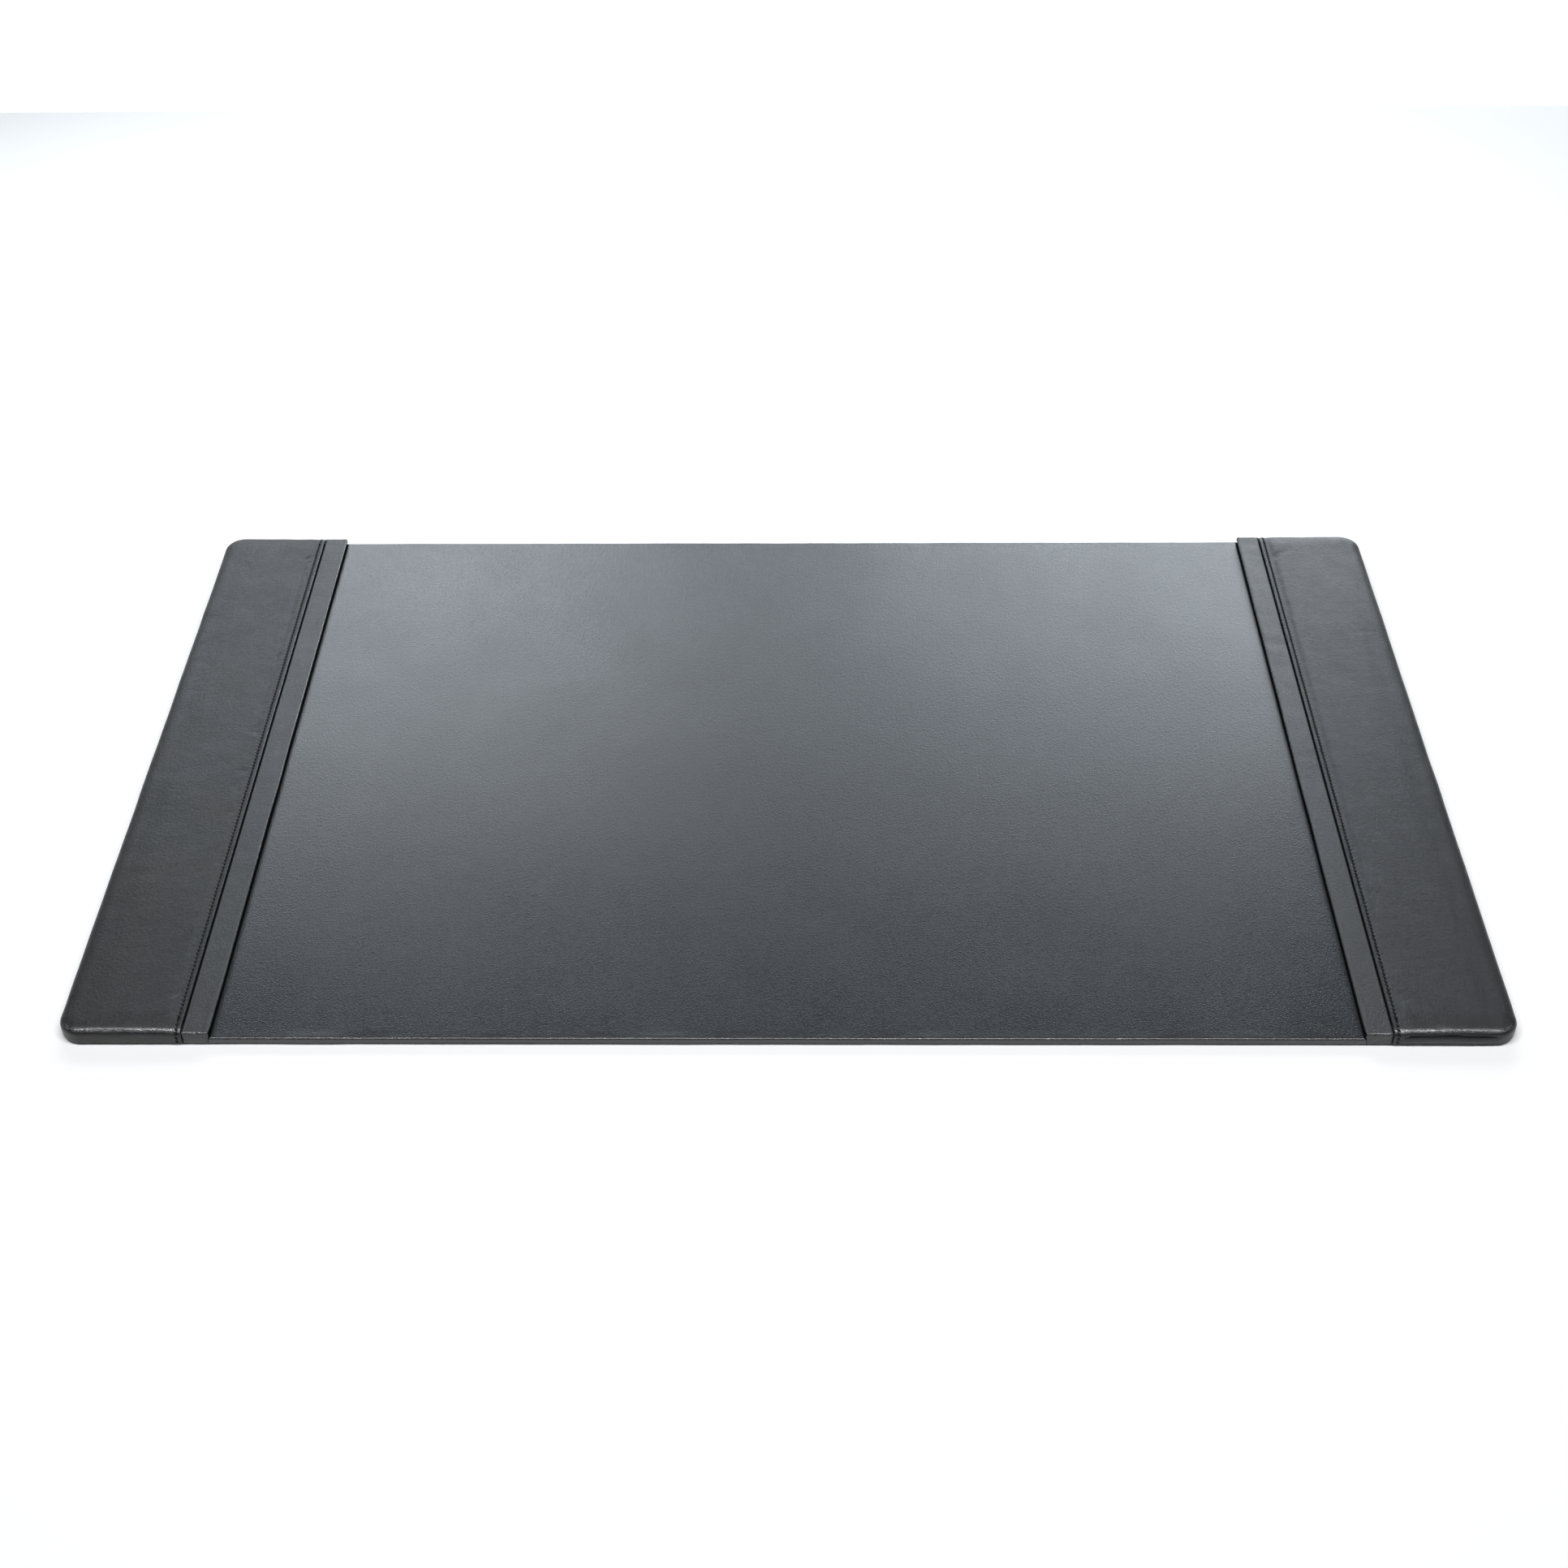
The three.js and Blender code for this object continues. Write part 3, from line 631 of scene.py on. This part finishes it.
def stitched(name, side, route, middle, pitch, radius, proud, bite, lean, detail):
    """A row of separate twisted stitches along a route of (distance, y, z), leaning across the seam."""
    far, py, pz = route
    way = np.stack([np.gradient(py, far), np.gradient(pz, far)], axis=1)
    way /= np.linalg.norm(way, axis=1)[:, None]
    first, last = math.ceil(far[0] / pitch), math.floor(far[-1] / pitch)
    rows, sides = detail
    u = np.linspace(0, 1, rows)
    around = np.linspace(0, 2 * math.pi, sides, endpoint=False)
    verts, faces = [], []
    rng = np.random.default_rng(71 + side)
    for number in range(first, last):
        s = (number + 0.15 + 0.7 * u) * pitch
        rise = -bite + (bite + proud) * np.sin(math.pi * u) ** 0.55
        rise += rng.normal(0, 0.015)
        ny = -np.interp(s, far, way[:, 1])
        nz = np.interp(s, far, way[:, 0])
        centre = np.stack(
            [
                np.full(rows, middle) + side * lean * (0.5 - u) * 2 + rng.normal(0, 0.02),
                np.interp(s, far, py) + ny * rise,
                np.interp(s, far, pz) + nz * rise,
            ],
            axis=1,
        )
        ahead = np.gradient(centre, axis=0)
        ahead /= np.linalg.norm(ahead, axis=1)[:, None]
        across = np.cross(ahead, np.stack([np.zeros(rows), ny, nz], axis=1))
        across /= np.linalg.norm(across, axis=1)[:, None]
        above = np.cross(across, ahead)
        ply = 1 + 0.13 * np.cos(2 * (around[None] - 2 * math.pi * 0.8 * u[:, None] * pitch / 2.2))
        taper = (0.72 + 0.28 * np.sin(math.pi * u) ** 0.5)[:, None]
        ring = radius * ply * taper
        tube = (
            centre[:, None]
            + across[:, None] * (np.cos(around) * ring)[..., None]
            + above[:, None] * (np.sin(around) * ring * 0.85)[..., None]
        )
        start = len(verts) * rows * sides
        index = start + np.arange(rows * sides).reshape(rows, sides)
        index = np.concatenate([index, index[:, :1]], axis=1)
        faces.append(quads(index))
        for row, flip in ((index[0, :-1], True), (index[-1, :-1], False)):
            fan = np.array([(row[0], row[i], row[i + 1], row[i + 1]) for i in range(1, sides - 1)])
            faces.append(fan[:, ::-1] if flip else fan)
        verts.append(tube.reshape(-1, 3))
    return make(name, np.concatenate(verts), np.concatenate(faces), THREAD_LOOK, side)


# ----------------------------------------------------------------- the strips


def section_path(depth, top, bottom, edge_radius, bottom_radius, turn_in, spacing, finish):
    """A cover's path from its front turned-in edge, up, over and down to the rear one: y and z."""
    turn = np.linspace(math.pi / 2, 0, finish + 1)
    y = list(steps(depth - turn_in, 2.4, depth - bottom_radius))
    z = [bottom] * len(y)
    y += list(depth - bottom_radius * (1 - np.cos(turn[1:])))
    z += list(bottom + bottom_radius * (1 - np.sin(turn[1:])))
    wall = np.linspace(bottom + bottom_radius, top - edge_radius, 8)[1:]
    y += [depth] * len(wall)
    z += list(wall)
    y += list(depth - edge_radius * (1 - np.sin(turn[1:])))
    z += list(top - edge_radius * (1 - np.cos(turn[1:])))
    near = steps(depth - edge_radius, 0.6, depth - 8, 1.2, depth - 16)[1:]
    flat = steps(depth - 16, spacing, 16 - depth)[1:]
    y += list(near) + list(flat)
    z += [top] * (len(near) + len(flat))
    y, z = np.array(y), np.array(z)
    cut = len(y) - len(flat)
    whole_y = np.concatenate([-y[:cut], -y[cut:], y[:cut][::-1][1:]])
    return whole_y, np.concatenate([z[:cut], z[cut:], z[:cut][::-1][1:]])


def path_frame(y, z):
    """The distance along a path, and the way it faces outwards."""
    way = np.stack([np.gradient(y), np.gradient(z)], axis=1)
    way /= np.linalg.norm(way, axis=1)[:, None]
    far = np.concatenate([[0], np.cumsum(np.hypot(np.diff(y), np.diff(z)))])
    return far, np.stack([-way[:, 1], way[:, 0]], axis=1)


def strip(side):
    """The lower strip: one leather folded round its card and wrapped over the front and rear edges."""
    y, z = section_path(WRAP_HIGH[1], STRIP_HIGH[2], WRAP_LOW[2], 1.5, 0.6, TURN_IN - 0.5, 2.0, 7)
    far, out = path_frame(y, z)
    rows = len(y)
    place = np.stack([np.full(rows, STRIP_LOW[0]), y, z], axis=1) * np.array([side, 1, 1])
    level = smooth(np.abs(y), EDGE_Y - 1, EDGE_Y - 4.5) * smooth(z, STRIP_HIGH[2] - 0.9, STRIP_HIGH[2] - 0.05)
    full = (STRIP_HIGH[2] - STRIP_LOW[2]) / 2
    radius = PLY + (full - PLY) * level
    pinch = smooth(np.abs(y), EDGE_Y - 7, EDGE_Y - 1.5) * smooth(z, 4.0, 6.5)
    lower = smooth(z, 6.6, 5.4)
    edge = STRIP_LOW[0] + 0.08 * waves(81 + side, 60)(place) + 0.35 * pinch * (1 - lower) + 1.0 * lower
    tail = WRAP_HIGH[0] + (STRIP_HIGH[0] - WRAP_HIGH[0]) * smooth(np.abs(y), EDGE_Y - 5, EDGE_Y - 8) * (z > 5)
    share = np.unique(np.concatenate([np.linspace(0, 1, 17), np.linspace(0.3, 0.5, 13)]))
    turn = np.linspace(0, math.pi, 11)[1:-1]
    verts, fold = [], []
    for s in share:
        verts.append((tail + (edge + radius - tail) * s, np.zeros(rows)))
        fold.append(0)
    for a in turn:
        verts.append((edge + radius * (1 - math.sin(a)), radius * (1 - math.cos(a))))
        fold.append(a)
    for s in share[::2]:
        verts.append((edge + radius + (tail - edge - radius) * s, radius * 2))
        fold.append(math.pi)
    points = np.zeros((rows, len(verts), 3))
    for number, (px, deep) in enumerate(verts):
        points[:, number, 0] = px
        points[:, number, 1] = y - out[:, 0] * deep
        points[:, number, 2] = z - out[:, 1] * deep
    fold = np.tile(fold, (rows, 1))
    points, fold = points[:, ::-1], fold[:, ::-1]
    index = np.arange(rows * len(verts)).reshape(rows, len(verts))
    flat = points.reshape(-1, 3)
    fold = fold.reshape(-1)
    faces = quads(index)
    n = normals(flat, faces)
    world = flat * np.array([side, 1, 1])
    upper = smooth(n[:, 2], 0.3, 0.9) * (fold == 0)
    out_of_hem = smooth(flat[:, 0], RAIL_LOW[0] - 1, RAIL_LOW[0] - 4)
    ripple = waves(91 + side, 13, 30, (5.0, 1, 1))(world) * (0.045 if side > 0 else 0.02)
    ripple *= smooth(flat[:, 1], -120, 60) if side > 0 else 1.0
    height = (ripple + waves(101 + side, 45)(world) * 0.03) * upper * out_of_hem
    wall = smooth(flat[:, 2], STRIP_HIGH[2] - 1, STRIP_HIGH[2] - 2.2) * smooth(flat[:, 2], 1.4, 2.4)
    height += waves(111 + side, 4.5, 30)(world) * 0.09 * wall * (fold == 0)
    height += 0.10 * np.exp(-(((flat[:, 0] - STRIP_LOW[0] - 1.8) / 0.8) ** 2)) * upper
    flat = flat + n * height[:, None]
    deep = np.repeat(radius, len(verts))
    upper_ply = np.minimum(0.9, deep * 2 - np.minimum(PLY, deep) - 0.06)
    thick = np.where(fold > 0, np.minimum(PLY, deep - 0.03), upper_ply)
    # Polish and painted highlight on the strip's nose, stronger towards the rear and on the left strip, and
    # along the top edge of its front and rear ends
    fold_polish_and_painted_highlight = (0.3 + 0.7 * smooth(flat[:, 1], -220, 60)) * (1.0 if side < 0 else 0.6)
    polish_and_painted_light = np.where(fold < math.pi, np.sin(fold) * fold_polish_and_painted_highlight, 0) * smooth(fold, 2.3, 1.7)
    rounded = smooth(np.abs(flat[:, 1]), EDGE_Y - 2.5, EDGE_Y - 1.4) * (fold == 0)
    polish_and_painted_light += np.exp(-(((flat[:, 2] - STRIP_HIGH[2] + 0.45) / 0.45) ** 2)) * rounded
    # Painted shade: the strip's top beside the hem's edge and the lower half of its nose over the pocket are
    # darkened and dulled
    polish_and_painted_light -= smooth(flat[:, 0], RAIL_LOW[0] - 1.5, RAIL_LOW[0] - 0.7) * (fold == 0)
    polish_and_painted_light -= smooth(fold, 1.9, 2.7)
    flat, faces = shell(flat, faces, thick)
    name = ("right" if side > 0 else "left") + "_strip_wrapped"
    return make(name, flat, faces, STRIP_LEATHER, side, polish_and_painted_light), far[-1]


def writing_sheet():
    """The covered board's top: tabs run on under the strips, and the middle is wrapped over both edges."""
    y, z = section_path(SHEET_HIGH[1], SHEET_HIGH[2], SHEET_LOW[2], 1.2, 0.6, TURN_IN - 0.6, 6.0, 7)
    far, out = path_frame(y, z)
    rows = len(y)
    wrap = WRAP_LOW[0] - 0.3
    tab = SHEET_HIGH[0]
    xs = steps(-tab, 2.4, -wrap, 0.4, 8 - wrap, 6.0, wrap - 8, 0.4, wrap, 2.4, tab)
    flat = np.stack([np.tile(xs, rows), np.repeat(y, len(xs)), np.repeat(z, len(xs))], axis=1)
    index = np.arange(rows * len(xs)).reshape(rows, len(xs))
    level = (z > SHEET_HIGH[2] - 0.01) & (np.abs(y) < SHEET_HIGH[1] - 1.5)
    faces = quads(index).reshape(rows - 1, len(xs) - 1, 4)
    middle = (xs[:-1] > -wrap - 0.01) & (xs[1:] < wrap + 0.01)
    keep = (level[:-1] & level[1:])[:, None] | middle[None]
    faces = faces[keep]
    n = normals(flat, faces)
    top = smooth(n[:, 2], 0.5, 0.95)
    height = (waves(121, 120)(flat) * 0.03 + waves(131, 30)(flat) * 0.008) * top
    front = smooth(np.abs(flat[:, 1]), EDGE_Y - 8, EDGE_Y - 1)
    height += waves(141, 40, 24)(flat) * 0.05 * front + waves(151, 5, 30)(flat) * 0.02 * front
    flat = flat + n * height[:, None]
    # Painted highlight along the top of the front and rear rolls, and painted shadow in a band on the top
    # beside each strip's free edge
    painted_edge_highlight_and_shadow = np.exp(-(((flat[:, 2] - SHEET_HIGH[2] + 0.4) / 0.35) ** 2))
    painted_edge_highlight_and_shadow *= smooth(np.abs(flat[:, 1]), EDGE_Y - 2, EDGE_Y - 0.8)
    painted_edge_highlight_and_shadow -= smooth(np.abs(flat[:, 0]), STRIP_LOW[0] - 1.0, STRIP_LOW[0] - 0.1) * top
    used = np.unique(faces)
    renumber = np.zeros(len(flat), dtype=int)
    renumber[used] = np.arange(len(used))
    flat, faces, painted_edge_highlight_and_shadow = flat[used], renumber[faces], painted_edge_highlight_and_shadow[used]
    flat, faces = shell(flat, faces, 0.8)
    return make("writing_sheet_wrapped", flat, faces, SHEET, 1, painted_edge_highlight_and_shadow), far[-1], 2 * wrap, 2 * tab


def plate(name, low, high, radius, edge, spacing, material, side, seed, wobble):
    """A soft plate with round corners and worn edges: felt or foam. edge lists its rings from the top out."""
    xs = steps(low[0] + radius, spacing, high[0] - radius)
    ys = steps(low[1] + radius, spacing, high[1] - radius)
    verts, faces, grid, ring = skirted(xs, ys, high[2], radius, edge, 8, False)
    size = len(verts)
    under = verts.copy()[: grid.size]
    under[:, 2] = low[2]
    verts = np.concatenate([verts, under])
    bottom = quads(grid)[:, ::-1] + size
    runs = [grid[0], grid[:, -1], grid[-1, ::-1], grid[::-1, 0]]
    base = np.concatenate([np.concatenate([run, [run[-1]] * 7]) for run in runs]) + size
    last = ring[-1]
    a, b = np.append(last, last[0]), np.append(base, base[0])
    faces = np.concatenate([faces, bottom, np.stack([a[:-1], b[:-1], b[1:], a[1:]], axis=1)])
    world = verts * np.array([side, 1, 1])
    n = normals(verts, faces)
    push = waves(seed, 14, 24)(world) * wobble + waves(seed + 1, 4, 24)(world) * wobble * 0.5
    push *= 1 - smooth(n[:, 2], -0.5, -0.9)
    return make(name, verts + n * push[:, None], faces, material, side)


# ---------------------------------------------------------------------- build


def ride(obj, slot, *nodes):
    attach(obj, "root")
    if nodes:
        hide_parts(*nodes)


for side, name in ((1, "right"), (-1, "left")):
    cover, route = rail_cover(side)
    ride(cover, "leather", f"{name}_rail_leather")

    top_name = f"{name}_seam_stitches"
    top_row = stitched(top_name, side, route, STITCH_X, PITCH, THREAD, 0.14, 0.6, LEAN, (11, 10))
    ride(top_row, "thread", f"{name}_seam_thread")

    run = np.linspace(BOBBIN_LOW[1], BOBBIN_HIGH[1], 200)
    level = np.full(200, (BOBBIN_LOW[2] + BOBBIN_HIGH[2]) / 2)
    under_route = (run, run, level)
    under_name = f"{name}_bobbin_stitches"
    under_row = stitched(under_name, side, under_route, STITCH_X, PITCH, BOBBIN, 0.0, 0.05, 0.06, (7, 8))
    ride(under_row, "thread", f"{name}_bobbin_thread")

    wrapped, cut = strip(side)
    ride(wrapped, "leather", f"{name}_strip_leather", f"{name}_strip_wrap_front", f"{name}_strip_wrap_rear")
    across = 2 * (STRIP_HIGH[0] - STRIP_LOW[0])
    area = across * 2 * STRIP_HIGH[1]
    area += 2 * (WRAP_HIGH[0] - WRAP_LOW[0] + 1) * 2 * (cut / 2 - STRIP_HIGH[1])

    inner = roll(ROLL_WIDTH, ROLL_HEIGHT, TOP - ROLL_HEIGHT, 10, UNDER_COVER)
    ring = [(d - UNDER_COVER, z) for d, z in inner if z > FOAM_LOW[2] + 0.3]
    ring += [(0.1, FOAM_LOW[2] + 0.3), (0.4, FOAM_LOW[2])]
    pad_name = f"{name}_rail_pad"
    pad_corner = CORNER - UNDER_COVER
    pad = plate(pad_name, FOAM_LOW, FOAM_HIGH, pad_corner, ring, 6.0, FOAM, side, 161 + side, 0.05)
    ride(pad, "foam", f"{name}_rail_foam")

sheet_obj, cut, middle, tabs = writing_sheet()
ride(sheet_obj, "writing_sheet", "writing_surface")
level_length = 2 * (SHEET_HIGH[1] - 1.5)
area = middle * cut + (tabs - middle) * level_length

thick = FELT_HIGH[2] - FELT_LOW[2]
soft_edge = [(0.6, FELT_HIGH[2] - 0.03), (0.15, FELT_HIGH[2] - 0.2), (0.0, thick / 2)]
soft_edge += [(0.15, 0.15), (0.5, 0.0)]
base = plate("felt_sheet", FELT_LOW, FELT_HIGH, CORNER - 6, soft_edge, 9.0, FELT, 1, 181, 0.03)
ride(base, "felt", "felt_backing")

for node, material in {
    "base_board": BOARD,
    "underside_infill_card": CARD,
    "right_rail_riser": BOARD,
    "left_rail_riser": BOARD,
    "right_strip_card": CARD,
    "left_strip_card": CARD,
}.items():
    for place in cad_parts[node].material_slots:
        place.material = material


# --------------------------------------------------- camera, floor and lights


def turned(yaw, pitch, roll_angle):
    """The right, up and backward axes of a camera, as the columns of a matrix."""
    ahead = Vector((-math.sin(yaw) * math.cos(pitch), math.cos(yaw) * math.cos(pitch), -math.sin(pitch)))
    level = Vector((math.cos(yaw), math.sin(yaw), 0))
    down = ahead.cross(level)
    right = math.cos(roll_angle) * level + math.sin(roll_angle) * down
    down = math.cos(roll_angle) * down - math.sin(roll_angle) * level
    return Matrix((right, -down, -ahead)).transposed()


camera_data = bpy.data.cameras.new("camera")
camera_data.sensor_width = 36
camera_data.sensor_fit = "HORIZONTAL"
camera_data.lens = 48.89
camera_data.clip_end = 50
camera = bpy.data.objects.new("camera", camera_data)
stand = Matrix.Translation((0.01478, -1.09465, 0.94796))
camera.matrix_world = stand @ turned(0.016419, 0.722982, 0.011437).to_4x4()
bpy.context.scene.collection.objects.link(camera)
bpy.context.scene.camera = camera

floor_look = Look("floor")
floor_look.done(Base_Color=(0.86, 0.86, 0.86), Roughness=0.9, Specular_IOR_Level=0.1)
FLOOR_REACH = 1050.0
corners = np.array([(-1, -1, 0), (1, -1, 0), (1, 1, 0), (-1, 1, 0)]) * FLOOR_REACH - (0, 0, 0.05)
floor = make("floor", corners, np.array([[0, 1, 2, 3]]), floor_look.material)


def softbox(name, place, aim, width, height, power, tint=(1, 1, 1)):
    data = bpy.data.lights.new(name, "AREA")
    data.shape = "RECTANGLE"
    data.size = width
    data.size_y = height
    data.energy = power
    data.color = tint
    light = bpy.data.objects.new(name, data)
    light.location = place
    light.rotation_euler = (Vector(aim) - Vector(place)).to_track_quat("-Z", "Y").to_euler()
    light.visible_camera = False
    bpy.context.scene.collection.objects.link(light)


softbox("overhead", (0, -0.4, 1.9), (0, 0, 0), 2.4, 0.35, 47, (0.98, 0.99, 1.0))
softbox("front", (0, -1.9, 2.3), (0, 0, 0), 2.4, 1.0, 6, (0.98, 0.99, 1.0))
softbox("behind", (0.0, 2.3, 1.35), (0, 0.1, 0), 2.8, 0.9, 25, (0.83, 0.915, 1.0))
softbox("behind_right", (0.4, 0.95, 0.45), (0.1, 0.1, 0), 0.6, 0.3, 1.6, (0.86, 0.93, 1.0))
softbox("behind_left", (-0.6, 0.95, 0.55), (-0.3, 0.1, 0), 0.8, 0.5, 2.7, (0.88, 0.94, 1.0))
softbox("low_right", (0.9, 1.8, 0.45), (-0.36, 0.1, 0), 0.4, 0.15, 5.5, (0.9, 0.95, 1.0))

# A white studio: bright at and below the horizon, dim overhead where the softboxes are
world = bpy.data.worlds.new("world")
world.use_nodes = True
sky = world.node_tree
direction = sky.nodes.new("ShaderNodeTexCoord")
parts = sky.nodes.new("ShaderNodeSeparateXYZ")
fade = sky.nodes.new("ShaderNodeMapRange")
fade.interpolation_type = "SMOOTHSTEP"
for key, value in {"From Min": 0.02, "From Max": 0.2, "To Min": 1.06, "To Max": 0.01}.items():
    fade.inputs[key].default_value = value
sky.links.new(direction.outputs["Generated"], parts.inputs[0])
sky.links.new(parts.outputs["Z"], fade.inputs["Value"])
sky.links.new(fade.outputs[0], sky.nodes["Background"].inputs["Strength"])
sky.nodes["Background"].inputs["Color"].default_value = (0.98, 0.99, 1.0, 1)
bpy.context.scene.world = world
bpy.context.scene.view_settings.view_transform = "Standard"
bpy.context.scene.view_settings.look = "None"
